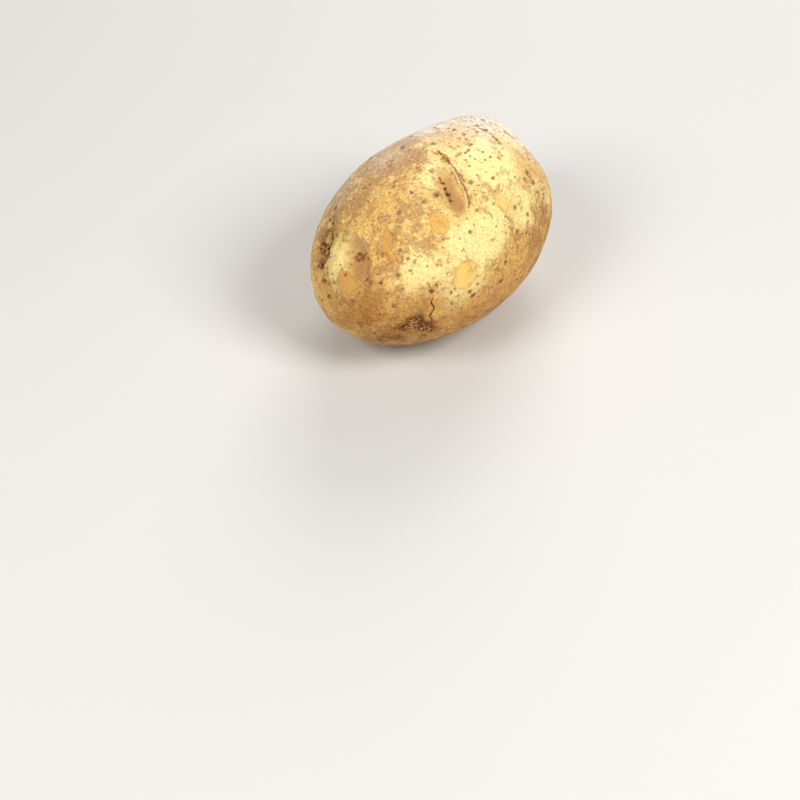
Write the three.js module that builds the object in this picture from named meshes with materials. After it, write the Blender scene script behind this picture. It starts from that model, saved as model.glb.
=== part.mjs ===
// A potato: one solid tuber, lying on its side on a small flat spot.
//
// Sizes are in millimetres, +Z up. X runs along the tuber, from the rose end (-X), where the eyes
// crowd together, to the stem end (+X), where it hung from its plant. The origin is under the middle
// of the tuber, on the surface that it lies on.
//
// A place on the tuber is two angles, as on a globe whose poles are the tuber's two ends:
//   along   from -90 at the rose end to 90 at the stem end
//   around  0 on top, 90 on the front (-Y), 180 underneath and -90 on the back (+Y)

import * as THREE from 'three';
import { mergeVertices } from 'three/addons/utils/BufferGeometryUtils.js';

// Driving dimensions.
const length = 104;
const width = 67;
const thickness = 60;
const restDepth = 0.8; // how much of the rounded underside the flat spot takes off

// The oval before its swellings.
const fullness = 2.2; // 2 is a plain oval, more is blunter at the ends and fuller at the sides
const taper = -0.06; // share by which the girth grows towards the stem end
const swellReach = 30; // how far a swelling spreads, in degrees
const skinDetail = 17; // how often each edge of the icosahedron is divided

// Broad swellings, and flats where the height is less than 0.
const swellings = [
  { along: 30, around: 90, height: 2 },
  { along: 55, around: 45, height: -5 },
  { along: 30, around: -40, height: -4.5 },
  { along: -15, around: -65, height: -2 },
  { along: -35, around: 140, height: -1.5 },
  { along: 0, around: 110, height: 3 },
  { along: 10, around: -130, height: 2 },
  { along: 60, around: -150, height: -3 },
];

// Eyes: a hollow under an arched brow. The brow is on the stem end's side, turned on the skin by turn
// degrees, from the way to the stem end towards the way that around grows.
const eyes = [
  { along: -13, around: 25, turn: 34, width: 22, depth: 1.4 },
  { along: -59, around: -1, turn: 50, width: 13, depth: 1.2 },
  { along: -70, around: -12, turn: 40, width: 8, depth: 0.4 },
  { along: -57, around: -48, turn: 25, width: 12, depth: 1.4 },
  { along: -71, around: -68, turn: 0, width: 8, depth: 0.6 },
  { along: -54, around: 98, turn: -10, width: 12, depth: 1.4 },
  { along: -24, around: -21, turn: 20, width: 11, depth: 0.7 },
  { along: 17, around: 79, turn: 10, width: 15, depth: 0.5 },
  { along: 44, around: -45, turn: 15, width: 12, depth: 0.8 },
  { along: -22, around: -118, turn: 20, width: 15, depth: 1.2 },
  { along: 26, around: -140, turn: -10, width: 17, depth: 1.1 },
  { along: 34, around: 150, turn: 15, width: 15, depth: 1 },
  { along: -62, around: -150, turn: 25, width: 12, depth: 1.1 },
];
const hollowReach = 0.36; // how far a hollow runs towards the rose end, as a share of its eye's width
const browReach = 0.17; // how soon it climbs back to the skin at the brow
const browArch = 0.022; // how strongly the brow bends back on itself, per mm

// The scar where the tuber hung from its stem.
const stemScar = { along: 84, around: 60, width: 9, depth: 1.6 };

const radians = THREE.MathUtils.degToRad;

function directionTo({ along, around }) {
  const [a, b] = [radians(along), radians(around)];
  return new THREE.Vector3(Math.sin(a), -Math.cos(a) * Math.sin(b), Math.cos(a) * Math.cos(b));
}

// The oval's point in a direction, with the swellings on it.
function plumpPoint(direction) {
  const power = (value) => Math.abs(value) ** fullness;
  const reach = (power(direction.x) + power(direction.y) + power(direction.z)) ** (-1 / fullness);
  const unit = direction.clone().multiplyScalar(reach);
  const girth = 1 + taper * unit.x;
  const point = new THREE.Vector3(
    (unit.x * length) / 2,
    (unit.y * girth * width) / 2,
    (unit.z * girth * thickness) / 2,
  );
  const outwards = point.clone().normalize();
  for (const swelling of swellings) {
    const apart = direction.angleTo(directionTo(swelling)) / radians(swellReach);
    point.addScaledVector(outwards, swelling.height * Math.exp(-apart * apart));
  }
  return point;
}

// A function that moves and stretches any point as these points need to fill the driving dimensions.
function fitterTo(points) {
  const box = new THREE.Box3().setFromPoints(points);
  const middle = box.getCenter(new THREE.Vector3());
  const stretch = new THREE.Vector3(length, width, thickness + restDepth).divide(
    box.getSize(new THREE.Vector3()),
  );
  return (point) => point.sub(middle).multiply(stretch);
}

// A place's own point and axes: out of the skin, towards the stem end, and across the tuber.
function axesAt(place, bodyPoint) {
  const point = bodyPoint(directionTo(place));
  const nudge = { along: place.along + 1, around: place.around };
  const toStem = bodyPoint(directionTo(nudge)).sub(point).normalize();
  const turn = { along: place.along, around: place.around + 1 };
  const across = bodyPoint(directionTo(turn)).sub(point).normalize();
  const out = toStem.clone().cross(across).normalize();
  if (out.dot(point) < 0) out.negate();
  return { point, toStem, across, out };
}

// An eye's axes: towards its brow, along the brow, and out of the skin.
function eyeAxesAt(eye, bodyPoint) {
  const { point, toStem, across, out } = axesAt(eye, bodyPoint);
  const [cos, sin] = [Math.cos(radians(eye.turn)), Math.sin(radians(eye.turn))];
  const toBrow = toStem.clone().multiplyScalar(cos).addScaledVector(across, sin);
  const alongBrow = across.clone().multiplyScalar(cos).addScaledVector(toStem, -sin);
  return { point, toBrow, alongBrow, out };
}

// How deep an eye is at a point of the skin.
function eyeDepth(eye, axes, skinPoint) {
  const offset = skinPoint.clone().sub(axes.point);
  const sideways = offset.dot(axes.alongBrow);
  const pastBrow = offset.dot(axes.toBrow) + browArch * sideways * sideways;
  const reach = eye.width * (pastBrow < 0 ? hollowReach : browReach);
  const inwards = offset.dot(axes.out) / eye.width;
  const spread = (pastBrow / reach) ** 2 + ((2 * sideways) / eye.width) ** 2 + inwards ** 2;
  return eye.depth * Math.exp(-spread);
}

// How deep the stem's scar is at a point of the skin.
function scarDepth(axes, skinPoint) {
  const apart = (2 * skinPoint.distanceTo(axes.point)) / stemScar.width;
  return stemScar.depth * Math.exp(-apart * apart);
}

function tuberGeometry() {
  const ball = new THREE.IcosahedronGeometry(1, skinDetail);
  ball.deleteAttribute('normal');
  ball.deleteAttribute('uv');
  const skin = mergeVertices(ball, 1e-4);
  const place = skin.getAttribute('position');
  const directions = Array.from({ length: place.count }, (_, i) =>
    new THREE.Vector3().fromBufferAttribute(place, i).normalize(),
  );
  const fitBody = fitterTo(directions.map(plumpPoint));
  const bodyPoint = (direction) => fitBody(plumpPoint(direction));
  const eyeAxes = eyes.map((eye) => eyeAxesAt(eye, bodyPoint));
  const scarAxes = axesAt(stemScar, bodyPoint);
  const points = directions.map((direction) => {
    const point = bodyPoint(direction);
    const inwards = point.clone().normalize().negate();
    let depth = scarDepth(scarAxes, point);
    eyes.forEach((eye, k) => {
      depth += eyeDepth(eye, eyeAxes[k], point);
    });
    return point.addScaledVector(inwards, depth);
  });
  const fitSkin = fitterTo(points);
  const restLevel = restDepth - (thickness + restDepth) / 2;
  points.forEach((point, i) => {
    fitSkin(point);
    place.setXYZ(i, point.x, point.y, Math.max(point.z, restLevel));
  });
  skin.computeBoundingBox();
  const box = skin.boundingBox;
  const middle = box.getCenter(new THREE.Vector3());
  skin.translate(-middle.x, -middle.y, -box.min.z);
  skin.computeVertexNormals();
  return skin;
}

const skinMaterial = new THREE.MeshStandardMaterial({ color: 0xd8b268, roughness: 0.55, metalness: 0 });
const potato = new THREE.Mesh(tuberGeometry(), skinMaterial);
potato.name = 'potato';

const part = new THREE.Group();
part.add(potato);

export default part;
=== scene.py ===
import math

import bmesh
import bpy
import numpy as np
from mathutils import Matrix, Vector
from mathutils.bvhtree import BVHTree


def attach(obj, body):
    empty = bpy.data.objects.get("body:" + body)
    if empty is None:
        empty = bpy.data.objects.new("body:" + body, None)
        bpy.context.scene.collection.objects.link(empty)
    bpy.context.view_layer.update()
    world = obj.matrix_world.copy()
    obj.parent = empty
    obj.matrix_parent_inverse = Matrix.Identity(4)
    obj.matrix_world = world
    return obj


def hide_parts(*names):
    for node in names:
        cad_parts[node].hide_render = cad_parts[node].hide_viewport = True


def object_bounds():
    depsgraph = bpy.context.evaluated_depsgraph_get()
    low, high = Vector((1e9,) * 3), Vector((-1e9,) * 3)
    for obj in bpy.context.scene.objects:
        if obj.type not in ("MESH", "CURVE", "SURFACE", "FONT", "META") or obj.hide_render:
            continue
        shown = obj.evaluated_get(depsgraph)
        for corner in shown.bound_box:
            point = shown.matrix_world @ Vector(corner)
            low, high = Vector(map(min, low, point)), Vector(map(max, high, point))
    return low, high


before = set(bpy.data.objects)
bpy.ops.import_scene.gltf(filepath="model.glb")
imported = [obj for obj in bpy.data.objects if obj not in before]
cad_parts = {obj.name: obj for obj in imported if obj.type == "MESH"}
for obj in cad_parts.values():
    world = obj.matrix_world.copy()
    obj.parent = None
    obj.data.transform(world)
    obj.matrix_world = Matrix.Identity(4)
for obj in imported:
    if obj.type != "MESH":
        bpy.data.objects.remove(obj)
cadLow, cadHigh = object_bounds()

# A yellow-skinned potato on its side, in metres, +Z up. X runs from the rose end (-X), where the eyes
# crowd together, to the stem end (+X). A place on the skin is (along, around) in degrees:
# along from -90 at the rose end to 90 at the stem end; around 0 on top, 90 in front (-Y), 180 underneath.

mm = 0.001


# Node trees written as expressions.

class Wire:
    # one output of a node; arithmetic on it adds Math nodes to the same tree
    def __init__(self, bench, socket):
        self.bench = bench
        self.socket = socket

    def math(self, operation, *values):
        return self.bench.add("ShaderNodeMath", {"operation": operation}, dict(enumerate(values)))

    def __add__(self, other):
        return self.math("ADD", self, other)

    def __sub__(self, other):
        return self.math("SUBTRACT", self, other)

    def __rsub__(self, other):
        return self.math("SUBTRACT", other, self)

    def __mul__(self, other):
        return self.math("MULTIPLY", self, other)

    def __truediv__(self, other):
        return self.math("DIVIDE", self, other)

    def __rtruediv__(self, other):
        return self.math("DIVIDE", other, self)

    __radd__ = __add__
    __rmul__ = __mul__

    def most(self, other):
        return self.math("MAXIMUM", self, other)

    def output(self, name):
        return Wire(self.bench, self.socket.node.outputs[name])


class Bench:
    # adds nodes to one tree: settings first, then a value or a wire for each socket
    def __init__(self, tree):
        self.tree = tree

    def add(self, kind, settings=None, sockets=None, result=0):
        node = self.tree.nodes.new(kind)
        for name, value in (settings or {}).items():
            setattr(node, name, value)
        self.fill(node, sockets or {})
        return Wire(self, node.outputs[result] if len(node.outputs) else None)

    def fill(self, node, sockets):
        for name, value in sockets.items():
            if isinstance(value, Wire):
                self.tree.links.new(value.socket, node.inputs[name])
            else:
                node.inputs[name].default_value = value

    def vector(self, operation, *values):
        return self.add("ShaderNodeVectorMath", {"operation": operation}, dict(enumerate(values)))

    def scaled(self, vector, amount):
        return self.add("ShaderNodeVectorMath", {"operation": "SCALE"}, {0: vector, "Scale": amount})

    def same(self, value):
        # a vector with one value three times
        return self.add("ShaderNodeCombineXYZ", None, dict.fromkeys(range(3), value))

    def drift(self, pattern, reach):
        # a noise's colour as an offset, up to half the reach each way
        return self.scaled(self.vector("SUBTRACT", pattern.output("Color"), (0.5, 0.5, 0.5)), reach)

    def noise(self, place, wave, detail=2.0, roughness=0.5, distortion=0.0):
        sockets = {"Vector": place, "Scale": 1 / wave, "Detail": detail,
                   "Roughness": roughness, "Distortion": distortion}
        return self.add("ShaderNodeTexNoise", None, sockets)

    def rise(self, value, start, end):
        # eases from 0 at start to 1 at end
        return self.add("ShaderNodeMapRange", {"interpolation_type": "SMOOTHSTEP"},
                        {"Value": value, "From Min": start, "From Max": end})

    def band(self, value, middle, reach):
        # 1 where the value is at the middle, easing to 0 at reach to each side
        apart = self.add("ShaderNodeMath", {"operation": "ABSOLUTE"}, {0: value - middle})
        return self.rise(apart, reach, 0.25 * reach)

    def tint(self, share, under, over, how="MIX"):
        return self.add("ShaderNodeMix", {"data_type": "RGBA", "blend_type": how},
                        {0: share, 6: under, 7: over}, 2)


def colour(red, green, blue):
    # a colour as seen on a screen, 0 to 255, in the linear values that shaders use
    shares = [value / 255 for value in (red, green, blue)]
    return (*[s / 12.92 if s < 0.04045 else ((s + 0.055) / 1.055) ** 2.4 for s in shares], 1.0)


def listed(names, rows):
    # a dictionary for each row of a table, with these names for its columns
    return [dict(zip(names.split(), row)) for row in rows]


def addObject(name, data):
    added = bpy.data.objects.new(name, data)
    bpy.context.scene.collection.objects.link(added)
    return added


# Places on the tuber.

tuber = {
    "cellsPerSide": 128,  # fineness of the skin: squares along each edge of the six sides
    "smoothing": 2,  # how often the CAD surface is divided before the skin is laid on it
    "restDepth": 0.8 * mm,  # what the flat spot underneath takes off
    "heart": (1.4 * mm, 1.5 * mm, 0.2 * mm),  # where the angles are measured from, from the middle
    "reach": (1.0275, 0.96, 1.002),  # the plain oval's half sizes, against those of the box
    "bakeMargin": 0.004,  # gap round each side's island in the bake's UV map
}


def directionsTo(along, around):
    a, b = np.radians(along), np.radians(around)
    return np.stack([np.sin(a), -np.cos(a) * np.sin(b), np.cos(a) * np.cos(b)], -1)


class Skin:
    # the fine skin while it is being shaped: a cube's grid of directions laid on the CAD surface
    def __init__(self, node):
        self.guide = self.smoothGuide(node)
        low, high = np.array(cadLow), np.array(cadHigh)
        rest = np.array([0, 0, tuber["restDepth"]])
        self.heart = (low + high - rest) / 2 + np.array(tuber["heart"])
        self.halfSizes = (high - low + rest) / 2 * np.array(tuber["reach"])
        self.layGrid(tuber["cellsPerSide"])
        self.points = self.onSurface(self.directions)
        self.mesh = bpy.data.meshes.new("tuber")
        self.mesh.from_pydata(self.points.tolist(), [], self.quads.tolist())
        self.mesh.shade_smooth()
        uvLayer = self.mesh.uv_layers.new(name="OFBake")
        uvLayer.data.foreach_set("uv", self.bakeMap.ravel())
        self.outward = self.normals()

    def smoothGuide(self, node):
        # the CAD faces merged and rounded, kept only as something to measure against
        mesh = node.data.copy()
        work = bmesh.new()
        work.from_mesh(mesh)
        bmesh.ops.remove_doubles(work, verts=work.verts, dist=0.001 * mm)
        work.to_mesh(mesh)
        work.free()
        guide = addObject("skinGuide", mesh)
        rounding = guide.modifiers.new("rounding", "SUBSURF")
        rounding.levels = rounding.render_levels = tuber["smoothing"]
        tree = BVHTree.FromObject(guide, bpy.context.evaluated_depsgraph_get())
        bpy.data.objects.remove(guide)
        return tree

    def layGrid(self, cells):
        steps = np.arange(cells + 1)
        i, j = np.meshgrid(steps, steps, indexing="ij")
        lattice, bakeSpots = [], []
        sides = [((1, 0, 0), (0, 0, 1)), ((-1, 0, 0), (0, 0, 1)), ((0, 1, 0), (1, 0, 0)),
                 ((0, -1, 0), (1, 0, 0)), ((0, 0, 1), (1, 0, 0)), ((0, 0, -1), (1, 0, 0))]
        island = np.array([1 / 3, 1 / 2])
        margin = tuber["bakeMargin"]
        for number, (outward, upward) in enumerate(sides):
            outward, upward = np.array(outward), np.array(upward)
            rightward = np.cross(upward, outward)
            spots = cells * outward + (2 * i - cells)[..., None] * rightward
            spots = spots + (2 * j - cells)[..., None] * upward
            lattice.append(spots.reshape(-1, 3))
            share = np.stack([i, j], -1).reshape(-1, 2) / cells
            corner = island * np.array([number % 3, number // 3])
            bakeSpots.append(corner + margin + share * (island - 2 * margin))
        unique, number = np.unique(np.concatenate(lattice), axis=0, return_inverse=True)
        self.directions = np.tan(unique / cells * math.pi / 4)
        self.directions /= np.linalg.norm(self.directions, axis=1)[:, None]
        first = (i[:-1, :-1] * (cells + 1) + j[:-1, :-1]).ravel()
        corners = np.stack([first, first + cells + 1, first + cells + 2, first + 1], -1)
        corners = np.concatenate([corners + side * (cells + 1) ** 2 for side in range(len(sides))])
        self.quads = number.reshape(-1)[corners]
        self.bakeMap = np.concatenate(bakeSpots)[corners.ravel()]

    def onSurface(self, directions):
        rays = directions * self.halfSizes
        rays /= np.linalg.norm(rays, axis=1)[:, None]
        heart = Vector(self.heart)
        return np.array([self.guide.ray_cast(heart, Vector(ray))[0] for ray in rays])

    def normals(self):
        normals = np.empty(len(self.points) * 3)
        self.mesh.vertices.foreach_get("normal", normals)
        return normals.reshape(-1, 3)

    def lift(self, height):
        self.points += self.outward * height[:, None]
        self.mesh.vertices.foreach_set("co", self.points.ravel())
        self.mesh.update()
        self.outward = self.normals()

    def store(self, name, values):
        attribute = self.mesh.attributes.new(name, "FLOAT", "POINT")
        attribute.data.foreach_set("value", values.astype(np.float32))

    def closeness(self, along, around, reach):
        # 1 at a place, fading over reach degrees
        cosine = self.directions @ directionsTo(along, around)
        return np.exp(-((np.degrees(np.arccos(np.clip(cosine, -1, 1))) / reach) ** 2))

    def axesAt(self, along, around, turn):
        # a place's point, and its ways across the skin: towards the stem end and round the tuber, turned
        nudged = np.array([along, along + 1, along]), np.array([around, around, around + 1])
        spots = self.onSurface(directionsTo(*nudged))
        toStem, across = spots[1] - spots[0], spots[2] - spots[0]
        toStem /= np.linalg.norm(toStem)
        across -= toStem * (across @ toStem)
        across /= np.linalg.norm(across)
        cosine, sine = math.cos(math.radians(turn)), math.sin(math.radians(turn))
        return spots[0], toStem * cosine + across * sine, across * cosine - toStem * sine

    def offsetsFrom(self, along, around, turn=0):
        # each point's offsets from a place in metres: forward, sideways, and straight distance
        point, forward, sideways = self.axesAt(along, around, turn)
        offset = self.points - point
        return offset @ forward, offset @ sideways, np.linalg.norm(offset, axis=1)

    def pathThrough(self, places, steps=12):
        # a smooth line on the skin through these places
        spots = np.array([places[0], *places, places[-1]], float)
        share = np.linspace(0, 1, steps, endpoint=False)[:, None]
        line = [0.5 * (2 * b + (c - a) * share + (2 * a - 5 * b + 4 * c - d) * share ** 2
                       + (3 * b - a - 3 * c + d) * share ** 3)
                for a, b, c, d in zip(spots, spots[1:], spots[2:], spots[3:])]
        line = np.concatenate([*line, spots[-1:]])
        return self.onSurface(directionsTo(line[:, 0], line[:, 1]))

    def fromPath(self, places, within):
        # signed distance to a line on the skin, + towards the stem end, and the share of it passed
        line = self.pathThrough(places)
        side = np.full(len(self.points), within)
        passed = np.zeros(len(self.points))
        middle = line.mean(0)
        span = np.linalg.norm(line - middle, axis=1).max() + within
        near = np.flatnonzero(np.linalg.norm(self.points - middle, axis=1) < span)
        start, run = line[:-1], np.diff(line, axis=0)
        gap = self.points[near, None] - start
        share = np.clip((gap * run).sum(-1) / (run ** 2).sum(-1), 0, 1)
        apart = gap - share[..., None] * run
        length = np.linalg.norm(apart, axis=-1)
        best = length.argmin(1)
        pick = np.arange(len(near))
        way = np.cross(self.outward[near], run[best])
        sign = np.sign((apart[pick, best] * way).sum(-1))
        stemward = np.sign(np.cross(middle - self.heart, line[-1] - line[0])[0])
        side[near] = np.minimum(length[pick, best], within) * sign * stemward
        passed[near] = (best + share[pick, best]) / len(run)
        return side, passed


def bell(values, reach):
    return np.exp(-((values / reach) ** 2))


def easedEnds(passed, share):
    # 0 at a line's two ends, 1 along its middle
    edge = np.clip(np.minimum(passed, 1 - passed) / share, 0, 1)
    return edge * edge * (3 - 2 * edge)


skin = Skin(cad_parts["potato"])
print("skin laid on the tuber:", len(skin.points), "points")


# Eyes, creases and rubbed patches.

# Each eye's place, turn and width are the tuber's own. Its brow and the floor of its hollow are lines
# of places; an eye that doesn't list them has plain arcs. The lip and ledge are heights, and tan and rim are
# how strongly the hollow and the brow are coloured, the hollow's tan partly painted shade; fade takes the tan
# off along the floor's start.
eyes = listed("place turn width lip ledge tan rim brow floor floorWidth fade", [
    ((-13, 25), 34, 22 * mm, 0.5 * mm, 1.1 * mm, 1.35, 0.9,
     [(-1, 1), (-2, 5), (-4, 10), (-6, 18), (-9, 25), (-11, 31), (-14, 37), (-18, 41)],
     [(-9, 14), (-13, 21), (-16, 28), (-18, 34)], 3.6 * mm, 0.5),
    ((-59, -1), 50, 13 * mm, 0.3 * mm, 0.6 * mm, 1.0, 0.7,
     [(-47, -12), (-50, -4), (-54, 5), (-58, 12), (-65, 15), (-71, 9)],
     [(-51, -9), (-57, -6), (-65, 4)], 4.4 * mm),
    ((-57, -48), 25, 12 * mm, 0.2 * mm, 0.3 * mm, 0.2, 0, None,
     [(-38, -41), (-45, -40), (-51, -42), (-55, -50), (-59, -61)], 1.7 * mm),
    ((-71, -68), 0, 8 * mm, 0.1 * mm, 0.3 * mm, 0.5, 0),
    ((-54, 98), -10, 12 * mm, 0.2 * mm, 0.7 * mm, 0.8, 0),
    ((-24, -21), 20, 11 * mm, 0.15 * mm, 0.2 * mm, 0.7, 0.3),
    ((44, -45), 15, 12 * mm, 0.3 * mm, 0.45 * mm, 0.7, 0.5),
    ((-22, -118), 20, 15 * mm, 0.4 * mm, 0.8 * mm, 0.9, 0.8),
    ((26, -140), -10, 17 * mm, 0.4 * mm, 0.8 * mm, 0.8, 0.8),
    ((34, 150), 15, 15 * mm, 0.4 * mm, 0.8 * mm, 0.9, 0.8),
    ((-62, -150), 25, 12 * mm, 0.3 * mm, 0.6 * mm, 0.8, 0.5),
])
browShape = {
    "arch": 22.0,  # how strongly a plain brow bends back, per metre
    "ahead": 0.19,  # how far it is in front of the eye, as a share of the eye's width
    "reach": 0.46,  # how far it goes each way, as a share of the eye's width
    "ends": 0.35,  # how much of its length eases away at each end, and of its coloured rim
    "rimEnds": 0.12,
    "within": 9 * mm,  # beyond this distance a brow or floor has no effect
    "floorReach": 0.2,
    "floorWidth": 2.6 * mm,
    "shelter": 0.1 * mm,  # how far under the brow its hollow's colour is full
    "shelterFade": 0.6 * mm,
    "lipReach": 2.6 * mm,  # how far the raised lip spreads behind the brow
    "edge": 0.45 * mm,  # how abruptly the skin drops under the brow
    "ledgeReach": 3.6 * mm,  # how far the drop lasts towards the hollow
}


def arcOf(eye, ahead, reach, arch):
    # places along a plain arc that lies ahead of an eye and reaches each way, in shares of its width
    point, forward, sideways = skin.axesAt(*eye["place"], eye["turn"])
    places = []
    for share in np.linspace(-reach, reach, 5):
        aside = share * eye["width"]
        onward = ahead * eye["width"] - arch * aside ** 2
        spot = (point + forward * onward + sideways * aside - skin.heart) / skin.halfSizes
        spot /= np.linalg.norm(spot)
        places.append((math.degrees(math.asin(spot[0])), math.degrees(math.atan2(-spot[1], spot[2]))))
    return places


def storeLines(name, lines):
    # the signed distance to the nearest of several lines in millimetres, and that line's strength
    sides, strengths = (np.stack(values) for values in zip(*lines))
    sides /= mm
    nearest = np.abs(sides).argmin(0)
    pick = np.arange(len(nearest))
    skin.store(name + "Gap", sides[nearest, pick])
    skin.store(name + "Share", strengths[nearest, pick])


def pressBrows():
    height = np.zeros(len(skin.points))
    hollow = np.zeros(len(skin.points))
    brows = []
    for eye in eyes:
        brow = eye.get("brow") or arcOf(eye, browShape["ahead"], browShape["reach"], browShape["arch"])
        side, passed = skin.fromPath(brow, browShape["within"])
        strength = easedEnds(passed, browShape["ends"])
        behind = np.clip(side, 0, None)
        under = np.clip(-side, 0, None)
        lip = eye["lip"] * bell(behind, browShape["lipReach"]) * bell(under, browShape["edge"])
        ledge = eye["ledge"] * (1 - bell(under, browShape["edge"])) * bell(under, browShape["ledgeReach"])
        height += strength * (lip - ledge)
        brows.append((side, easedEnds(passed, browShape["rimEnds"]) * eye["rim"]))
        floor = eye.get("floor") or arcOf(eye, 0, browShape["floorReach"], 0)
        across, along = skin.fromPath(floor, browShape["within"])
        sheltered = 1 - np.clip((side + browShape["shelter"]) / browShape["shelterFade"], 0, 1)
        tan = eye["tan"] * (1 - eye.get("fade", 0) * (1 - along)) * sheltered
        hollow = np.maximum(hollow, tan * bell(across, eye.get("floorWidth", browShape["floorWidth"])))
    skin.lift(height)
    skin.store("hollow", hollow)
    storeLines("brow", brows)


# Creases in the skin: a line of places, how deep and wide it is pressed, and the half width in
# millimetres and darkness of the mark along it, a mark that is partly painted shade in the crease.
creases = listed("line depth width mark dark", [
    ([(-45.5, 72), (-47.5, 79), (-46.5, 86), (-48.5, 93), (-47.5, 99), (-49, 105)],
     0.45 * mm, 0.6 * mm, 0.38, 0.9),
    ([(-45, 61), (-46, 66), (-46, 72)], 0.2 * mm, 0.6 * mm, 0.5, 0.35),
    ([(-12, 14), (-13, 17), (-14.5, 20)], 0.4 * mm, 0.8 * mm, 0.7, 0.5),
    ([(-14, 20), (-16, 25), (-18, 31)], 0.3 * mm, 0.9 * mm, 0.8, 0.3),
    ([(-34, -40), (-43, -39), (-51, -38), (-55, -47), (-58, -57), (-61, -65)],
     0.8 * mm, 1.2 * mm, 0.45, 0.6),
    ([(-3, 6), (-4, 10), (-5, 14)], 0.15 * mm, 0.7 * mm, 1.0, 0.45),
    ([(22, 72), (20, 78), (18, 84)], 0.3 * mm, 0.6 * mm, 0.4, 0.45),
    ([(23, 80), (20, 86), (15, 91)], 0.25 * mm, 0.5 * mm, 0.4, 0.35),
    ([(-71, 9), (-74, 4), (-78, -4)], 0.12 * mm, 0.4 * mm, 0.3, 0.2),
    ([(-60, 13), (-66, 13), (-70, 8)], 0.12 * mm, 0.4 * mm, 0.3, 0.25),
    ([(26, 8), (25, 12), (26, 16)], 0.25 * mm, 0.6 * mm, 0.6, 0.5),
    ([(26, 16), (24, 22), (21, 28)], 0.25 * mm, 0.6 * mm, 0.6, 0.45),
])

# Dark buds and pits: a place, a radius, a depth and how dark, the darkness partly the buds' own brown and
# partly painted shade in the pits.
buds = listed("place radius depth dark", [
    ((-13.5, 19), 0.7 * mm, 0.35 * mm, 1.0),
    ((-15, 22.5), 0.8 * mm, 0.4 * mm, 1.0),
    ((-16.5, 25.5), 1.05 * mm, 0.5 * mm, 1.0),
    ((-18, 29.5), 0.75 * mm, 0.5 * mm, 1.0),
    ((-11, 31), 0.4 * mm, 0.2 * mm, 0.6),
    ((-58, -3), 1.8 * mm, 0.35 * mm, 0.75),
    ((-57, 6), 0.9 * mm, 0.15 * mm, 0.35),
    ((-68, -17), 0.6 * mm, 0.2 * mm, 0.7),
    ((-40, -43), 0.6 * mm, 0.3 * mm, 0.9),
    ((-52, -46), 1.3 * mm, 0.6 * mm, 1.0),
    ((-59, -60), 0.8 * mm, 0.4 * mm, 0.8),
    ((-67, -63), 0.7 * mm, 0.3 * mm, 0.7),
    ((-73, -84), 0.9 * mm, 0.4 * mm, 0.6),
    ((-66, -105), 0.8 * mm, 0.3 * mm, 0.6),
    ((-55, 101), 1.3 * mm, 0.5 * mm, 0.7),
    ((-49, 109), 1.1 * mm, 0.4 * mm, 0.6),
    ((-46, 62), 0.7 * mm, 0.15 * mm, 0.5),
    ((-43, 66), 0.7 * mm, 0.15 * mm, 0.5),
    ((-25, -21), 0.6 * mm, 0.35 * mm, 0.9),
    ((-26, -24), 0.4 * mm, 0.3 * mm, 0.9),
    ((44, -45), 1.1 * mm, 0.3 * mm, 0.8),
    ((-22, -118), 1.3 * mm, 0.4 * mm, 0.9),
    ((26, -140), 1.4 * mm, 0.4 * mm, 0.9),
    ((34, 150), 1.3 * mm, 0.4 * mm, 0.9),
    ((-62, -150), 1.1 * mm, 0.35 * mm, 0.9),
    ((84, 60), 1.9 * mm, 0.9 * mm, 0.9),
])
crumblyRadius = 1.07 * mm  # buds larger than this carry crumbs
creaseShape = {
    "within": 6 * mm,  # beyond this distance a crease has no effect
    "ends": 0.3,  # how much of its length eases away at each end, and of its mark
    "markEnds": 0.2,
    "shoulder": 0.4,  # height of the skin pushed up beside it, as a share of its depth
    "shoulderAt": 2.2,  # where that stands and how far it spreads, in widths of the crease
    "shoulderReach": 1.2,
}

# Gentle swellings and dips of the skin: a place, a height and how far it spreads.
swells = listed("place height reach", [
    ((-60, -27), 0.9 * mm, 5.5 * mm),
    ((-78, -20), 0.3 * mm, 4.0 * mm),
    ((-40, 82), 0.4 * mm, 5.0 * mm),
    ((-3, 8), -0.8 * mm, 5.5 * mm),
])


def insideOf(marks):
    # how far inside the nearest round mark each point is, in millimetres, and how dark that mark is
    aparts = np.stack([skin.offsetsFrom(*mark["place"])[2] for mark in marks])
    radii = np.array([mark["radius"] for mark in marks])
    inside = (radii[:, None] - aparts) / mm
    nearest = inside.argmax(0)
    darkness = np.array([mark["dark"] for mark in marks])
    return aparts, inside[nearest, np.arange(len(nearest))], darkness[nearest]


def pressCreases():
    height = np.zeros(len(skin.points))
    crumbly = np.zeros(len(skin.points))
    lines = []
    for crease in creases:
        side, passed = skin.fromPath(crease["line"], creaseShape["within"])
        strength = easedEnds(passed, creaseShape["ends"])
        height -= crease["depth"] * strength * bell(side, crease["width"])
        pastShoulder = np.abs(side) - creaseShape["shoulderAt"] * crease["width"]
        shoulder = creaseShape["shoulder"] * crease["depth"] * strength
        height += shoulder * bell(pastShoulder, creaseShape["shoulderReach"] * crease["width"])
        lines.append((side / crease["mark"], easedEnds(passed, creaseShape["markEnds"]) * crease["dark"]))
    aparts, inside, darkness = insideOf(buds)
    for apart, bud in zip(aparts, buds):
        height -= bud["depth"] * bell(apart, bud["radius"])
        crumbly = np.maximum(crumbly, bell(apart, bud["radius"]) * (bud["radius"] > crumblyRadius))
    for swell in swells:
        height += swell["height"] * bell(skin.offsetsFrom(*swell["place"])[2], swell["reach"])
    skin.lift(height)
    storeLines("crease", lines)
    skin.store("budInside", inside)
    skin.store("budShare", darkness)
    skin.store("crumbly", crumbly)


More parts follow.
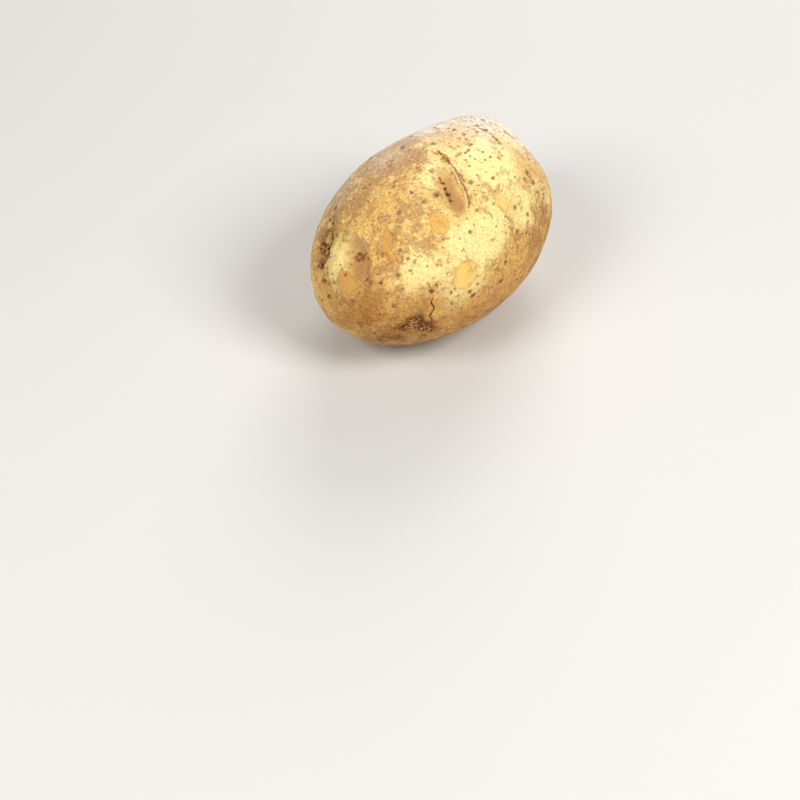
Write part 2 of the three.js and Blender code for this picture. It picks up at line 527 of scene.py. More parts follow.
# Smooth golden patches where the outer skin has rubbed away: a place, two half sizes, a turn, and how deep
# it is rubbed (below 0 is a fainter patch).
rubbedPatches = listed("place sizes turn deep", [
    ((-28, 34), (3.7 * mm, 4.1 * mm), 20, 0.4),
    ((-46, 14), (4.3 * mm, 2.2 * mm), -35, 0.95),
    ((-50, 26), (1.4 * mm, 1.5 * mm), 0, 0.7),
    ((-72, -13), (3.6 * mm, 4.4 * mm), 40, 1.0),
    ((-31, 71), (5.4 * mm, 4.6 * mm), 0, -0.3),
    ((-2, 52), (2.9 * mm, 4.2 * mm), 0, -0.3),
    ((-34.5, -12), (1.5 * mm, 1.1 * mm), 20, 0.9),
    ((-40, -26), (1.0 * mm, 0.7 * mm), 20, 1.0),
    ((0, -30), (2.6 * mm, 0.7 * mm), 0, 0.8),
    ((40, -100), (3.4 * mm, 2.4 * mm), 30, 0.4),
    ((-5, 165), (2.8 * mm, 4.0 * mm), 0, 0.5),
    ((58, 100), (3.2 * mm, 2.0 * mm), -20, 0.3),
    ((-38, -100), (2.4 * mm, 3.4 * mm), 10, 0.6),
    ((8, -75), (2.0 * mm, 1.4 * mm), 10, 0.2),
])


leastInside = -4.0  # millimetres: past this a point is simply outside


def markRubbed():
    # how far inside the nearest patch's edge each point is, in millimetres, and how deep it is rubbed
    insides = []
    for patch in rubbedPatches:
        forward, sideways, apart = skin.offsetsFrom(*patch["place"], patch["turn"])
        long, wide = patch["sizes"]
        farSide = (apart > 4 * max(long, wide)) * 9  # keeps a patch off the other side of the tuber
        share = np.sqrt((forward / long) ** 2 + (sideways / wide) ** 2 + farSide)
        insides.append(np.maximum((1 - share) * math.sqrt(long * wide) / mm, leastInside))
    insides = np.stack(insides)
    nearest = insides.argmax(0)
    skin.store("rubbed", insides[nearest, np.arange(len(nearest))])
    skin.store("rubbedDeep", np.array([patch["deep"] for patch in rubbedPatches])[nearest])


# Tinges of the skin, some partly painted light or shade, and where roots stand on it: (along, around, reach
# in degrees, strength).
tinges = {
    # pale yellow skin, placed where the light falls fullest, so partly painted highlight
    "pale": [(-13, 56, 17, 1.0), (6, 66, 14, 0.8), (-50, 50, 11, 0.9), (9, 32, 16, 0.9),
        (-12, 10, 7, 0.7), (-57, -22, 11, 1.3), (-70, -38, 10, 1.0), (30, 30, 14, 0.7),
        (-34, 80, 12, 0.8)],
    "green": [(-45, -33, 14, 1.0), (-31, -24, 14, 0.9), (-6, -19, 12, 0.7), (-20, -40, 18, 0.5)],
    "russet": [(-9, -8, 8, 2.0), (-15, -15, 9, 2.0), (0, -22, 11, 1.9), (-42, 20, 12, 0.9),
        (-30, 12, 12, 0.6), (-35, -38, 14, 1.4), (-28, -24, 12, 1.4), (-10, -30, 12, 1.6),
        (-48, -20, 8, 0.6), (-66, 20, 14, 0.8), (-40, 38, 8, 0.7), (10, 85, 20, 0.8), (-60, 30, 16, 0.7),
        (-25, -20, 8, 0.6), (2, 42, 9, 0.5), (-20, -50, 20, 0.7), (50, -80, 30, 0.6), (0, -150, 35, 0.6),
        (-46, -48, 8, 1.3), (-58, -62, 7, 1.0)],
    # whitish dust on the top and the stem end, partly real dust and partly painted highlight along the top
    # right rim
    "dustAndHighlight": [(42, 0, 24, 1.3), (26, -22, 20, 1.3), (56, 30, 20, 1.3), (30, -60, 25, 0.5),
        (6, -34, 14, 0.6), (28, 12, 8, 1.2), (-8, -26, 13, 0.45), (-24, -44, 12, 0.35)],
    # a saturated golden tone, faint on the upper skin; strong on the lower right flank, where it is painted
    # warm bounce light
    "amberAndBounce": [(-25, 16, 9, 0.3), (-42, 24, 9, 0.3), (-34, -2, 12, 0.3), (-26, 100, 16, 0.8),
        (0, 100, 17, 0.8), (-74, 50, 18, 0.3)],
    # darker and browner towards the bottom and underneath: partly the skin's brown, partly painted shade
    "brownAndShade": [(-84, 90, 24, 1.0), (-58, 116, 30, 1.0), (-20, 118, 26, 0.9), (14, 112, 26, 0.75),
        (44, 100, 22, 0.5), (-45, 150, 40, 0.8), (10, 150, 40, 0.7), (-50, -170, 35, 0.6),
        (40, -170, 45, 0.5)],
    # soil at the eyes and roots; the last two broad, faint spots underneath are painted shade
    "soilAndShade": [(-56, 98, 5.5, 1.0), (-51, 105, 6, 1.1), (-48, 112, 4, 0.9), (-59, 106, 6, 0.9),
        (-45, -42, 4, 0.7), (-52, -49, 5, 1.0), (-58, -59, 4, 0.7), (-66, -66, 3, 0.6),
        (-62, 150, 30, 0.45), (-20, 150, 30, 0.4)],
    "rooted": [(-55, 102, 4, 1.0), (-51, 107, 3.5, 1.0), (-57, -4, 2, 0.25)],
}


def markTinges():
    for name, spots in tinges.items():
        share = np.zeros(len(skin.points))
        for along, around, reach, strength in spots:
            share = np.maximum(share, strength * skin.closeness(along, around, reach))
        skin.store(name, share)


stemScar = {"place": (84, 60), "radius": 4.2 * mm, "rim": 0.35 * mm, "rimReach": 1.1 * mm}


def markStemScar():
    apart = skin.offsetsFrom(*stemScar["place"])[2]
    skin.lift(stemScar["rim"] * bell(apart - stemScar["radius"], stemScar["rimReach"]))
    skin.store("scar", bell(apart, stemScar["radius"]))


pressBrows()
pressCreases()
markRubbed()
markTinges()
markStemScar()
print("eyes, creases, patches and tinges done")


# Relief: broad undulation, grain and lenticel pits over the whole skin.

skinRelief = {
    "undulation": 0.9 * mm,  # height of the broad dips and rises
    "undulationWave": 17 * mm,
    "ripple": 0.35 * mm,
    "rippleWave": 6 * mm,
    "grain": 0.12 * mm,
    "grainWave": 2.2 * mm,
    "pitSpacing": 3.1 * mm,
    "pitRadius": 0.95 * mm,
    "pitDepth": 0.16 * mm,
}
lenticelShape = {
    "stretch": (0.72, 1.0, 1.0),  # they are longer along the tuber than round it
    "wobble": 0.8,  # how ragged they are, as a share of their radius
    "wobbleWave": 1.1 * mm,
    "crowdWave": 10 * mm,  # how wide the parts are where they are larger
}


def lenticels(bench, place, spacing, radius):
    # scattered specks: the distance from the nearest one in its own radii, and its own random share
    ragged = bench.noise(place, lenticelShape["wobbleWave"])
    shifted = bench.vector("ADD", place, bench.drift(ragged, lenticelShape["wobble"] * radius))
    spread = bench.vector("MULTIPLY", shifted, lenticelShape["stretch"])
    found = bench.add("ShaderNodeTexVoronoi", {"feature": "F1"}, {"Vector": spread, "Scale": 1 / spacing})
    luck = bench.add("ShaderNodeSeparateXYZ", None, {0: found.output("Color")})
    crowd = bench.rise(bench.noise(place, lenticelShape["crowdWave"]), 0.25, 0.7)
    own = (luck * 0.65 + 0.45) * (crowd * 0.6 + 0.6) * radius
    return found * spacing / own, luck.output("Y")


def startTree(name, sizes):
    # a tree with the piece's geometry and its sizes as named inputs
    tree = bpy.data.node_groups.new(name, "GeometryNodeTree")
    tree.interface.new_socket("Geometry", in_out="INPUT", socket_type="NodeSocketGeometry")
    for size in sizes:
        tree.interface.new_socket(size, in_out="INPUT", socket_type="NodeSocketFloat")
    tree.interface.new_socket("Geometry", in_out="OUTPUT", socket_type="NodeSocketGeometry")
    bench = Bench(tree)
    return tree, bench, bench.add("NodeGroupInput")


def endTree(bench, shape, material):
    real = bench.add("GeometryNodeRealizeInstances", None, {"Geometry": shape})
    dressed = bench.add("GeometryNodeSetMaterial", None, {"Geometry": real, "Material": material})
    bench.add("NodeGroupOutput", None, {0: dressed})


def storedOn(bench, name):
    # a share stored on the skin's points, read inside a geometry tree
    return bench.add("GeometryNodeInputNamedAttribute", {"data_type": "FLOAT"}, {"Name": name})


def addReliefTree(material):
    tree, bench, given = startTree("skinRelief", skinRelief)
    size = given.output
    place = bench.add("GeometryNodeInputPosition")

    def wave(length, detail):
        scaled = bench.vector("DIVIDE", place, bench.same(length))
        return bench.add("ShaderNodeTexNoise", None, {"Vector": scaled, "Scale": 1.0, "Detail": detail}) - 0.5

    calm = 1 - bench.rise(storedOn(bench, "rubbed"), -0.2, 0.4).most(storedOn(bench, "hollow"))
    gap = lenticels(bench, place, size("pitSpacing"), size("pitRadius"))[0]
    pit = bench.rise(gap, 1.0, 0.4)
    rim = bench.rise(gap, 0.9, 1.15) * bench.rise(gap, 1.6, 1.2)
    height = wave(size("undulationWave"), 1.0) * size("undulation")
    height = height + wave(size("rippleWave"), 2.0) * size("ripple")
    height = height + wave(size("grainWave"), 3.0) * size("grain") * calm
    height = height + (rim * 0.35 - pit) * size("pitDepth") * calm
    normal = bench.add("GeometryNodeInputNormal")
    moved = bench.add("GeometryNodeSetPosition", None,
                      {"Geometry": given, "Offset": bench.scaled(normal, height)})
    endTree(bench, moved, material)
    return tree


def applyTree(piece, tree, sizes):
    # runs a tree on a piece and leaves the plain mesh that it makes
    modifier = piece.modifiers.new(tree.name, "NODES")
    modifier.node_group = tree
    for item in tree.interface.items_tree:
        if item.in_out == "INPUT" and item.name in sizes:
            modifier[item.identifier] = sizes[item.name]
    bpy.context.view_layer.update()
    made = bpy.data.meshes.new_from_object(piece.evaluated_get(bpy.context.evaluated_depsgraph_get()))
    piece.modifiers.remove(modifier)
    made.name = piece.name
    piece.data = made
    return piece


# Materials.

skinPaint = {
    "pale": colour(255, 236, 156),
    "golden": colour(232, 187, 102),
    "scuff": colour(255, 242, 192),
    "russet": colour(176, 128, 76),
    "green": colour(200, 184, 96),
    "dustAndHighlight": colour(252, 248, 238),
    "amberAndBounce": colour(216, 164, 80),
    "brownAndShade": colour(172, 112, 38),
    "soilAndShade": colour(164, 128, 84),
    "rubbed": colour(234, 182, 82),
    "rubbedDeep": colour(206, 154, 72),
    "rubbedEdge": colour(190, 132, 60),
    "hollow": colour(196, 148, 80),
    "hollowShade": colour(152, 104, 52),
    "speckRim": colour(156, 110, 62),
    "speckHeart": colour(104, 66, 34),
    "crustAndShade": colour(188, 148, 100),
    "dark": colour(84, 50, 24),
    "brow": colour(250, 230, 184),
    "browLine": colour(128, 82, 38),
    "grit": colour(196, 158, 108),
}
skinWaves = {  # how wide the blotches of each pattern are
    "ragged": 3.6 * mm,
    "clouds": 17 * mm,
    "scuffs": 3.2 * mm,
    "veins": 4.5 * mm,
    "netting": 4.5 * mm,
    "grains": 1.1 * mm,
    "crackle": 1.8 * mm,
    "crumbs": 0.8 * mm,
    "grit": 0.75 * mm,
}
skinFinish = {
    "streaks": (0.5, 1.0, 1.0),  # scuffs and veins are drawn out along the tuber
    "dotSpacing": 1.9 * mm,  # the small specks between the lenticels
    "dotRadius": 0.58 * mm,
    "roughness": 0.56,
    "shine": 0.28,
    "bump": 0.8,
    "bumpHeight": 0.28 * mm,
    "glow": 0.06,  # how much light passes under the skin
    "glowReach": (1.0, 0.6, 0.25),  # how far its red, green and blue go, as shares of the depth
    "glowDepth": 0.8 * mm,
}


def startMaterial(name):
    material = bpy.data.materials.new(name)
    material.use_nodes = True
    return material, Bench(material.node_tree), material.node_tree.nodes["Principled BSDF"]


def paintSkin():
    material, bench, shader = startMaterial("potatoSkin")
    place = bench.add("ShaderNodeTexCoord").output("Object")
    streaky = bench.vector("MULTIPLY", place, skinFinish["streaks"])
    paint, wave, rise = skinPaint, skinWaves, bench.rise

    def mask(name):
        return bench.add("ShaderNodeAttribute", {"attribute_name": name}).output("Fac")

    def coat(share, name, how="MIX"):
        nonlocal base
        base = bench.tint(share, base, skinPaint[name], how)

    ragged = bench.noise(place, wave["ragged"], 6, 0.6) - 0.5
    inside = mask("rubbed") + ragged * 4.0
    rubbed = rise(inside, 0.0, 0.35)
    hollow = rise(mask("hollow") + ragged * 0.5, 0.1, 0.75)
    calm = 1 - (rubbed * 0.7).most(hollow * 0.6)

    # clouds of pale yellow on golden, scuffed, with the green and amber tinges; the pale clouds are partly
    # painted highlight where the light falls fullest
    clouds = bench.noise(place, wave["clouds"], 3, 0.55)
    paleAndLitShare = rise(clouds + mask("pale") * 0.42 - mask("amberAndBounce") * 0.4, 0.42, 0.82)
    base = bench.tint(paleAndLitShare, paint["golden"], paint["pale"])
    # the amber tone, on the lower flank painted warm bounce light
    coat(mask("amberAndBounce") * 0.7, "amberAndBounce")
    scuffs = rise(bench.noise(streaky, wave["scuffs"], 8, 0.8), 0.50, 0.66)
    coat(scuffs * 0.28, "scuff")
    veins = bench.noise(streaky, wave["veins"], 7, 0.72)
    coat(mask("green") * rise(veins, 0.42, 0.58) * 0.7, "green")

    # the thin dry outer skin: ragged tan netting, thicker in patches
    netting = bench.noise(place, wave["netting"], 8, 0.74)
    russet = rise(netting + mask("russet") * 0.10 - mask("pale") * 0.05, 0.49, 0.60)
    coat(russet * (mask("russet") * 0.12 + 0.66), "russet")
    grains = bench.noise(place, wave["grains"], 5, 0.8)
    flecks = rise(grains, 0.53, 0.64) * calm
    # fewer flecks in the pale zones, which are partly painted highlight
    coat(flecks * (russet * 0.4 + 0.4 - paleAndLitShare * 0.2), "russet")
    coat(rise(grains, 0.46, 0.36) * calm * 0.35, "scuff")
    # darker and browner towards the bottom, partly painted shade
    brownAndShadeShare = mask("brownAndShade") * (rise(veins, 0.32, 0.62) * 0.55 + 0.4)
    coat(brownAndShadeShare, "brownAndShade")
    crackle = rise(bench.noise(place, wave["crackle"], 6, 0.8, 0.6), 0.42, 0.52)
    # whitish dust in a fine crackle, partly painted highlight on the top right rim
    coat(mask("dustAndHighlight") * (crackle * 0.6 + 0.28), "dustAndHighlight")

    # lenticels, the large ones in the same places as their pits
    gap, luck = lenticels(bench, place, skinRelief["pitSpacing"], skinRelief["pitRadius"])
    speck = rise(gap, 1.0, 0.7) * calm
    speckHeart = rise(gap, 0.6, 0.3) * calm * (luck * 0.6 + 0.4)
    dotGap, dotLuck = lenticels(bench, place, skinFinish["dotSpacing"], skinFinish["dotRadius"])
    dots = rise(dotGap, 1.0, 0.55) * calm
    coat(speck * 0.7, "speckRim")
    coat(speckHeart * 0.9, "speckHeart")
    coat(dots * (dotLuck * 0.8 + 0.2), "speckRim")

    # hollows and rubbed patches
    # the hollow's tan is partly painted shade in the recess, and its deepest part is darker still with
    # painted shade
    coat(hollow * 0.7, "hollow")
    coat(rise(mask("hollow") + ragged * 0.5, 0.65, 1.0) * 0.45, "hollowShade")
    edge = rubbed * rise(inside, 0.9, 0.2)
    worn = bench.tint(mask("rubbedDeep"), paint["rubbed"], paint["rubbedDeep"])
    base = bench.tint(rubbed * (mask("rubbedDeep") * 0.25 + 0.6), base, worn)
    coat(edge * 0.4, "rubbedEdge")

    # a brow is a pale torn rim over a fine dark line; then soil, with painted shade underneath, and creases
    # and buds, darkened partly with painted shade in their dents
    crumbs = bench.noise(place, wave["crumbs"], 4, 0.75)
    browGap = mask("browGap") + (crumbs - 0.5) * 0.5
    broken = rise(veins, 0.36, 0.50) * mask("browShare")
    coat(bench.band(browGap, -0.1, 0.35) * broken * 0.7, "brow")
    chipped = rise(crumbs, 0.34, 0.5) * rise(mask("browShare"), 0.45, 0.95)
    coat(bench.band(browGap, 0.4, 0.5) * chipped * 0.9, "browLine")
    # soil at the eyes, and painted shade underneath, multiplied in
    soilAndShade = rise(mask("soilAndShade") + (veins - 0.5) * 1.2 + (crumbs - 0.5) * 0.8, 0.2, 0.9)
    coat(soilAndShade, "soilAndShade", "MULTIPLY")
    creaseGap = mask("creaseGap") + (crumbs - 0.5) * 2.4 + ragged * 2.5
    crease = bench.band(creaseGap, 0, 1.0) * mask("creaseShare") * rise(crumbs, 0.36, 0.52)
    mottled = 1 - rise(crumbs, 0.44, 0.54) * mask("crumbly") * 0.8
    bud = rise(mask("budInside") + (crumbs - 0.5) * 2.4, -0.2, 0.6) * mask("budShare") * mottled
    dark = crease.most(bud)
    # painted shade in the creases and bud pits, over the buds' own brown
    coat(rise(dark, 0.0, 0.5), "crustAndShade", "MULTIPLY")
    coat(rise(dark, 0.45, 1.0) * 0.9, "dark")
    scar = rise(mask("scar") + (crumbs - 0.5) * 0.6, 0.35, 0.7)
    coat(scar * 0.85, "brownAndShade")

    # fine grit darkens everything here and there
    grit = bench.noise(place, wave["grit"], 3, 0.75)
    # less grit in the pale zones, which are partly painted highlight
    gritty = rise(grit, 0.45, 0.62) * (calm * 0.35 + 0.25 - paleAndLitShare * 0.2)
    coat(gritty, "grit", "MULTIPLY")

    roughness = skinFinish["roughness"] + mask("dustAndHighlight") * 0.2 + (grains - 0.5) * 0.3 + russet * 0.08
    relief = (grains * 0.7 + grit * 0.4) * (calm * 0.8 + 0.2) - speck * 0.35 - dots * 0.3 + russet * 0.25
    relief = relief - rubbed * 0.3 - dark * crumbs * 1.5 + mask("dustAndHighlight") * crackle * 0.5 + scuffs * 0.2
    bump = bench.add("ShaderNodeBump", None, {
        "Height": relief, "Strength": skinFinish["bump"], "Distance": skinFinish["bumpHeight"]})
    bench.fill(shader, {
        "Base Color": base, "Roughness": roughness, "Normal": bump,
        "Subsurface Weight": skinFinish["glow"], "Subsurface Radius": skinFinish["glowReach"],
        "Subsurface Scale": skinFinish["glowDepth"], "Specular IOR Level": skinFinish["shine"]})
    return material


skinMaterial = paintSkin()
tuberPiece = addObject("tuber", skin.mesh)
applyTree(tuberPiece, addReliefTree(skinMaterial), skinRelief)


def keepInBox(piece):
    # nothing reaches past the CAD tuber's box, and the flat spot stays flat
    points = np.empty(len(piece.data.vertices) * 3)
    piece.data.vertices.foreach_get("co", points)
    points = np.clip(points.reshape(-1, 3), np.array(cadLow), np.array(cadHigh))
    piece.data.vertices.foreach_set("co", points.ravel())
    piece.data.update()


keepInBox(tuberPiece)
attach(tuberPiece, "root")
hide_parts("potato")
print("skin relief and finish done:", len(tuberPiece.data.polygons), "faces")


# What sits on the skin: corky crumbs, dried root hairs and torn flakes.

def roughMaterial(name, under, over, wave, roughness, shine=0.25):
    # two tones in a fine noise, with a bump to match
    material, bench, shader = startMaterial(name)
    place = bench.add("ShaderNodeTexCoord").output("Object")
    grain = bench.noise(place, wave, 3, 0.7)
    base = bench.tint(bench.rise(grain, 0.38, 0.62), under, over)
    bump = bench.add("ShaderNodeBump", None, {"Height": grain, "Strength": 0.6, "Distance": 0.1 * mm})
    bench.fill(shader, {"Base Color": base, "Normal": bump, "Roughness": roughness,
                        "Specular IOR Level": shine})
    return material


seeds = {"crumbs": 5, "crumbTurn": 6, "crumbSize": 7,
         "hairs": 11, "hairTurn": 12, "hairLength": 13, "flakes": 21}


def randomValue(bench, low, high, seed):
    return bench.add("FunctionNodeRandomValue", {"data_type": "FLOAT"}, {2: low, 3: high, 8: seed}, 1)


def scatter(bench, given, name, density, seed):
    # random points on the skin, as thick as the stored share says
    return bench.add("GeometryNodeDistributePointsOnFaces", {"distribute_method": "RANDOM"},
                     {"Mesh": given, "Density": storedOn(bench, name) * density, "Seed": seed})


crumb = {
    "perSquare": 2.0 / mm ** 2,  # crumbs to a square metre where they lie thickest
    "largest": 0.42 * mm,
    "smallest": 0.12 * mm,
    "lumps": 0.7,  # how lumpy each is, as a share of its radius
}


def addCrumbTree(material):
    tree, bench, given = startTree("corkyCrumbs", crumb)
    size = given.output
    spots = scatter(bench, given, "crumbly", size("perSquare"), seeds["crumbs"])
    ball = bench.add("GeometryNodeMeshIcoSphere", None, {"Radius": 1.0, "Subdivisions": 2})
    bumps = bench.add("ShaderNodeTexNoise", None, {"Scale": 1.3, "Detail": 1.0})
    shift = bench.drift(bumps, size("lumps") * 2)
    lump = bench.add("GeometryNodeSetPosition", None, {"Geometry": ball, "Offset": shift})
    turn = bench.add("FunctionNodeRandomValue", {"data_type": "FLOAT_VECTOR"},
                     {0: (0, 0, 0), 1: (math.tau, math.tau, math.tau), 8: seeds["crumbTurn"]})
    width = randomValue(bench, size("smallest"), size("largest"), seeds["crumbSize"])
    laid = bench.add("GeometryNodeInstanceOnPoints", None,
                     {"Points": spots, "Instance": lump, "Rotation": turn, "Scale": width})
    endTree(bench, laid, material)
    return tree


rootHair = {
    "perSquare": 0.42 / mm ** 2,
    "longest": 7.5 * mm,
    "shortest": 2.5 * mm,
    "thickness": 0.15 * mm,  # radius at the root
    "wander": 1.5 * mm,
    "wanderWave": 4.5 * mm,
    "lift": 0.7 * mm,  # how far the tip stands off the skin
}
hairLean = 78  # how far a hair leans over from upright, in degrees
hairSteps = 16  # points along a hair
hairSides = 6


def addRootTree(material):
    tree, bench, given = startTree("rootHairs", rootHair)
    size = given.output
    spots = scatter(bench, given, "rooted", size("perSquare"), seeds["hairs"])
    line = bench.add("GeometryNodeCurvePrimitiveLine", {"mode": "POINTS"},
                     {"Start": (0, 0, 0), "End": (0, 0, 1)})
    fine = bench.add("GeometryNodeResampleCurve", None, {"Curve": line, "Count": hairSteps})
    turn = randomValue(bench, 0.0, math.tau, seeds["hairTurn"])
    lean = bench.add("ShaderNodeCombineXYZ", None, {0: math.radians(hairLean), 1: 0.0, 2: turn})
    leaning = bench.add("FunctionNodeRotateRotation", {"rotation_space": "LOCAL"},
                        {"Rotation": spots.output("Rotation"), "Rotate By": lean})
    length = randomValue(bench, size("shortest"), size("longest"), seeds["hairLength"])
    laid = bench.add("GeometryNodeInstanceOnPoints", None,
                     {"Points": spots, "Instance": fine, "Rotation": leaning, "Scale": length})
    hairs = bench.add("GeometryNodeRealizeInstances", None, {"Geometry": laid})
    passed = bench.add("GeometryNodeSplineParameter").output("Factor")

    # each hair wanders, then is laid back on the skin and lifted towards its tip
    place = bench.add("GeometryNodeInputPosition")
    scaled = bench.vector("DIVIDE", place, bench.same(size("wanderWave")))
    bends = bench.add("ShaderNodeTexNoise", None, {"Vector": scaled, "Scale": 1.0})
    shift = bench.drift(bends, size("wander") * 2 * passed)
    curled = bench.add("GeometryNodeSetPosition", None, {"Geometry": hairs, "Offset": shift})
    nearest = bench.add("GeometryNodeProximity", {"target_element": "FACES"}, {0: given})
    outward = bench.add("GeometryNodeSampleNearestSurface", {"data_type": "FLOAT_VECTOR"},
                        {"Mesh": given, "Value": bench.add("GeometryNodeInputNormal")})
    above = bench.scaled(outward, size("lift") * passed * passed + size("thickness") * 0.8)
    laidOn = bench.add("GeometryNodeSetPosition", None,
                       {"Geometry": curled, "Position": bench.vector("ADD", nearest, above)})
    section = bench.add("GeometryNodeCurvePrimitiveCircle", {"mode": "RADIUS"},
                        {"Resolution": hairSides, "Radius": 1.0})
    tube = bench.add("GeometryNodeCurveToMesh", None,
                     {"Curve": laidOn, "Profile Curve": section, "Fill Caps": True,
                      "Scale": size("thickness") * (1 - passed * 0.75)})
    endTree(bench, tube, material)
    return tree


def addOnSkin(name, tree, sizes):
    piece = addObject(name, tuberPiece.data.copy())
    applyTree(piece, tree, sizes)
    keepInBox(piece)
    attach(piece, "root")
    print(name, "done:", len(piece.data.polygons), "faces")


# Torn flakes of dry skin: the line that each hangs from, how wide it is (above 0 is towards the stem end)
# and how far its free edge lifts.
flakes = {
    "thickness": 0.1 * mm,
    "sunk": 0.3,  # how much of the thickness is in the skin at the line
    "steps": 8,  # squares across each flake
    "raggedness": 0.35,
    "swell": (0.05, 0.95),  # the part of a sine's arch that the width follows along the line
    "skew": 1.6,  # above 1, a flake is widest past the middle of its line
    "torn": listed("line width lift", [
        ([(-1, 3), (-3, 7), (-5, 14)], 1.7 * mm, 0.45 * mm),
        ([(-7, 22), (-8, 25), (-9, 28)], 0.8 * mm, 0.3 * mm),
        ([(-12, 34), (-13, 36), (-15, 39)], 0.9 * mm, 0.4 * mm),
        ([(25, 10), (25, 13), (26, 16)], 0.9 * mm, 0.3 * mm),
        ([(24, 20), (23, 24), (21, 28)], 0.8 * mm, 0.3 * mm),
        ([(-54, 96), (-56, 101), (-55, 106)], -1.6 * mm, 0.6 * mm),
        ([(-49, 104), (-48, 109), (-49, 113)], 1.2 * mm, 0.5 * mm),
        ([(-50, -43), (-53, -47), (-55, -52)], -1.1 * mm, 0.4 * mm),
        ([(-18, -112), (-17, -118), (-19, -124)], 1.2 * mm, 0.4 * mm),
        ([(38, 146), (39, 150), (38, 154)], 1.2 * mm, 0.4 * mm),
    ]),
}


def flakeSheets(flake, line, ground, luck):
    # points of a flake's upper and lower sheets, which rise off the finished skin as they spread
    arch = np.linspace(*flakes["swell"], len(line)) ** flakes["skew"]
    widths = flake["width"] * np.sin(arch * math.pi)
    widths *= 1 + flakes["raggedness"] * luck.uniform(-1, 1, len(line))
    points = []
    for sheet in (1, 0):
        for spot, way, width in zip(line, np.gradient(line, axis=0), widths):
            outward = Vector((spot - skin.heart) / np.linalg.norm(spot - skin.heart))
            sideways = outward.cross(Vector(way)).normalized()
            sideways *= math.copysign(1, sideways.x)
            for share in np.linspace(0, 1, flakes["steps"] + 1):
                under = ground.find_nearest(Vector(spot) + sideways * width * share)[0]
                rise = flake["lift"] * share ** 2 + flakes["thickness"] * (sheet - flakes["sunk"])
                points.append(under + outward * rise)
    return points


def flakeFaces(rows, columns):
    # the squares of a flake's two sheets, then those of the rim between them
    size = rows * columns
    quads = []
    for i in range(rows - 1):
        for j in range(columns - 1):
            a = i * columns + j
            b = a + columns
            quads.append((a, a + 1, b + 1, b))
            quads.append((a + size, b + size, b + size + 1, a + size + 1))
    rim = [i * columns for i in range(rows)] + [(rows - 1) * columns + j for j in range(1, columns)]
    rim += [i * columns + columns - 1 for i in range(rows - 2, -1, -1)] + list(range(columns - 2, 0, -1))
    for a, b in zip(rim, rim[1:] + rim[:1]):
        quads.append((a, b, b + size, a + size))
    return np.array(quads)


def addFlakes(name, material):
    # each flake is a thin closed sheet that hangs from its line on the skin
    ground = BVHTree.FromObject(tuberPiece, bpy.context.evaluated_depsgraph_get())
    luck = np.random.default_rng(seeds["flakes"])
    points, faces = [], []
    for flake in flakes["torn"]:
        line = skin.pathThrough(flake["line"])
        quads = flakeFaces(len(line), flakes["steps"] + 1) + len(points)
        points += flakeSheets(flake, line, ground, luck)
        corners = np.array(points)[quads] - line[0]
        volume = (corners[:, 0] * np.cross(corners[:, 1], corners[:, 2])).sum()
        volume += (corners[:, 0] * np.cross(corners[:, 2], corners[:, 3])).sum()
        faces += (quads if volume > 0 else quads[:, ::-1]).tolist()  # so that faces point outwards
    mesh = bpy.data.meshes.new(name)
    mesh.from_pydata(points, [], faces)
    mesh.materials.append(material)
    piece = addObject(name, mesh)
    keepInBox(piece)
    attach(piece, "root")
    print(name, "done:", len(faces), "faces")


# two tones, how wide their grain is, and roughness
corky = roughMaterial("corkyCrumbs", colour(120, 74, 34), colour(216, 170, 110), 0.5 * mm, 0.75)
driedRoot = roughMaterial("driedRoot", colour(150, 104, 58), colour(214, 174, 116), 0.8 * mm, 0.7)
tornSkin = roughMaterial("tornSkin", colour(138, 88, 40), colour(214, 160, 92), 0.9 * mm, 0.6)
addOnSkin("corky_crumbs", addCrumbTree(corky), crumb)
addOnSkin("root_hairs", addRootTree(driedRoot), rootHair)
addFlakes("torn_flakes", tornSkin)


# Floor, lights and camera.

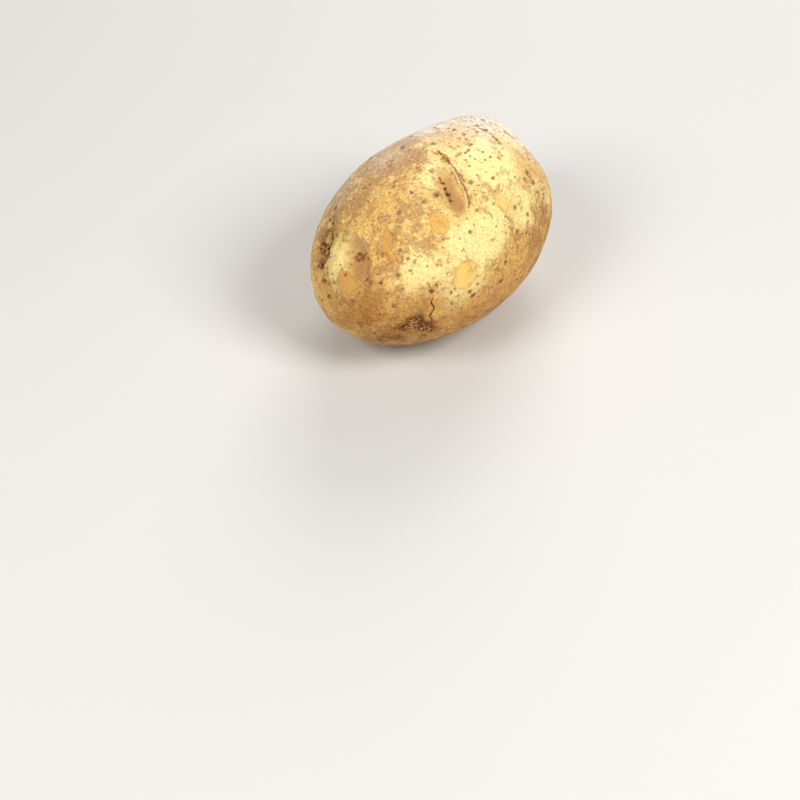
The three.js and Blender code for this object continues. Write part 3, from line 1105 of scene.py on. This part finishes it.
studio = {
    "floorSize": 4.0,
    "floorColour": (0.64, 0.62, 0.59, 1),
    "floorRoughness": 0.8,
    "ambient": 0.13,
    "heartHeight": 30 * mm,  # what the lamps and the camera point at
}
lamps = listed("name bearing height distance size power", [
    ("keyBox", -8, 44, 0.9, 0.4, 6.8),
    ("backBox", 110, 28, 1.0, 0.6, 7.4),
    ("leftBox", -108, 40, 0.9, 0.4, 4.8),
])
view = {
    "bearing": -60,  # the camera stands off the rose end's front, as degrees round from -Y
    "pitch": 42,
    "lens": 100,
    "distance": 0.7357,
    "right": 0.0445,  # where the tuber's middle is in the frame, from the frame's middle
    "up": 0.2183,
}


def addFloor():
    half = studio["floorSize"] / 2
    mesh = bpy.data.meshes.new("floor")
    corners = [(-half, -half, 0), (half, -half, 0), (half, half, 0), (-half, half, 0)]
    mesh.from_pydata(corners, [], [(0, 1, 2, 3)])
    floor = addObject("floor", mesh)
    material, bench, shader = startMaterial("paleFloor")
    bench.fill(shader, {"Base Color": studio["floorColour"], "Roughness": studio["floorRoughness"]})
    mesh.materials.append(material)


def wayTo(bearing, height):
    # the way from the tuber, in degrees round from -Y and up from the floor
    turn, climb = math.radians(bearing), math.radians(height)
    return Vector((math.sin(turn) * math.cos(climb), -math.cos(turn) * math.cos(climb), math.sin(climb)))


def addLamps():
    world = bpy.data.worlds.new("studio")
    bpy.context.scene.world = world
    world.use_nodes = True
    background = world.node_tree.nodes["Background"]
    background.inputs["Color"].default_value = (1, 1, 1, 1)
    background.inputs["Strength"].default_value = studio["ambient"]
    for lamp in lamps:
        light = bpy.data.lights.new(lamp["name"], "AREA")
        light.size = lamp["size"]
        light.energy = lamp["power"]
        holder = addObject(lamp["name"], light)
        away = wayTo(lamp["bearing"], lamp["height"])
        holder.location = away * lamp["distance"] + Vector((0, 0, studio["heartHeight"]))
        holder.rotation_euler = away.to_track_quat("Z", "Y").to_euler()


def addCamera():
    camera = bpy.data.cameras.new("camera")
    camera.lens = view["lens"]
    holder = addObject("camera", camera)
    back = wayTo(view["bearing"], view["pitch"])
    turn = math.radians(view["bearing"])
    right = Vector((math.cos(turn), math.sin(turn), 0))
    up = back.cross(right)
    frameWidth = view["distance"] * camera.sensor_width / view["lens"]
    middle = Vector((0, 0, studio["heartHeight"]))
    spot = middle + back * view["distance"]
    spot -= right * view["right"] * frameWidth
    spot -= up * view["up"] * frameWidth
    holder.matrix_world = Matrix.Translation(spot) @ Matrix((right, up, back)).transposed().to_4x4()
    bpy.context.scene.camera = holder


addFloor()
addLamps()
addCamera()
bpy.context.scene.view_settings.view_transform = "Standard"
print("studio done")
